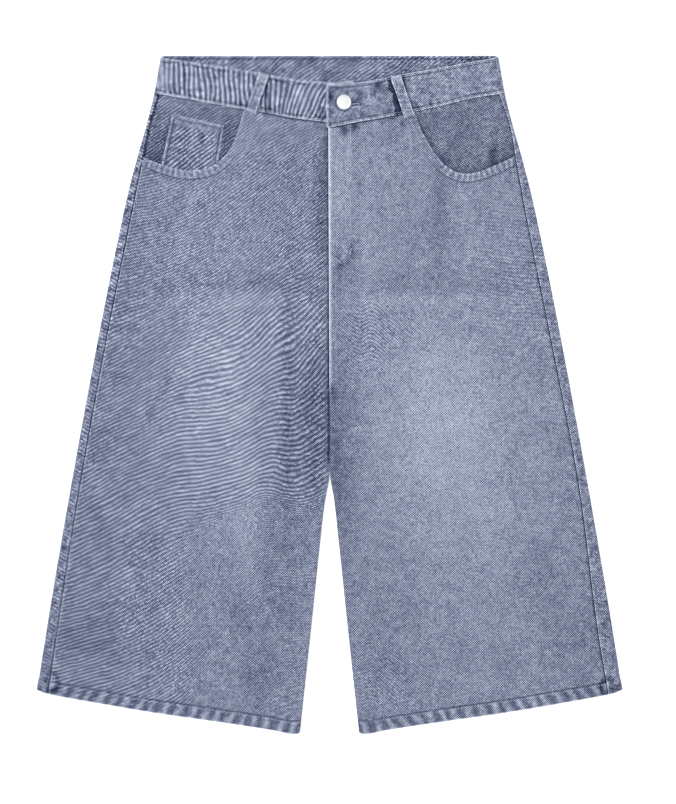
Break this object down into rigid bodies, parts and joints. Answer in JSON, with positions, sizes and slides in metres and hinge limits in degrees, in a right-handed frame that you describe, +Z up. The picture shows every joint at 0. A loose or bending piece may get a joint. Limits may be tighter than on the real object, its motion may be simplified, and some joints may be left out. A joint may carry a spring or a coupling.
{
  "type": "denim shorts",
  "caption": "Wide knee-length denim shorts laid flat on their back, with a buttoned waistband, fly, scooped front pockets, coin pocket and turned hems.",
  "frame": {"origin": "middle of the flat underside, on the surface the garment lies on", "axes": "+Z up out of the front of the garment, +Y towards the waist, +X towards the wearer's left"},
  "size_m": [0.586, 0.6787, 0.0132],
  "materials": {
    "denim": "washed blue cotton twill, faded on the thighs, with tone-on-tone sewing",
    "facing_denim": "less faded blue cotton twill inside the pocket mouths",
    "button_metal": "bright nickel finish with a rolled rim, plain face",
    "zip_tape": "woven blue tape, hidden behind the fly"
  },
  "bodies": {
    "root": {"front_right": "denim", "front_left": "denim", "back_right": "denim", "back_left": "denim", "waistband": "denim", "pocket_facing_right": "facing_denim", "pocket_facing_left": "facing_denim", "coin_pocket": "facing_denim", "belt_loop_right": "denim", "belt_loop_left": "denim", "button": "button_metal", "zip": "zip_tape"}
  },
  "joints": []
}
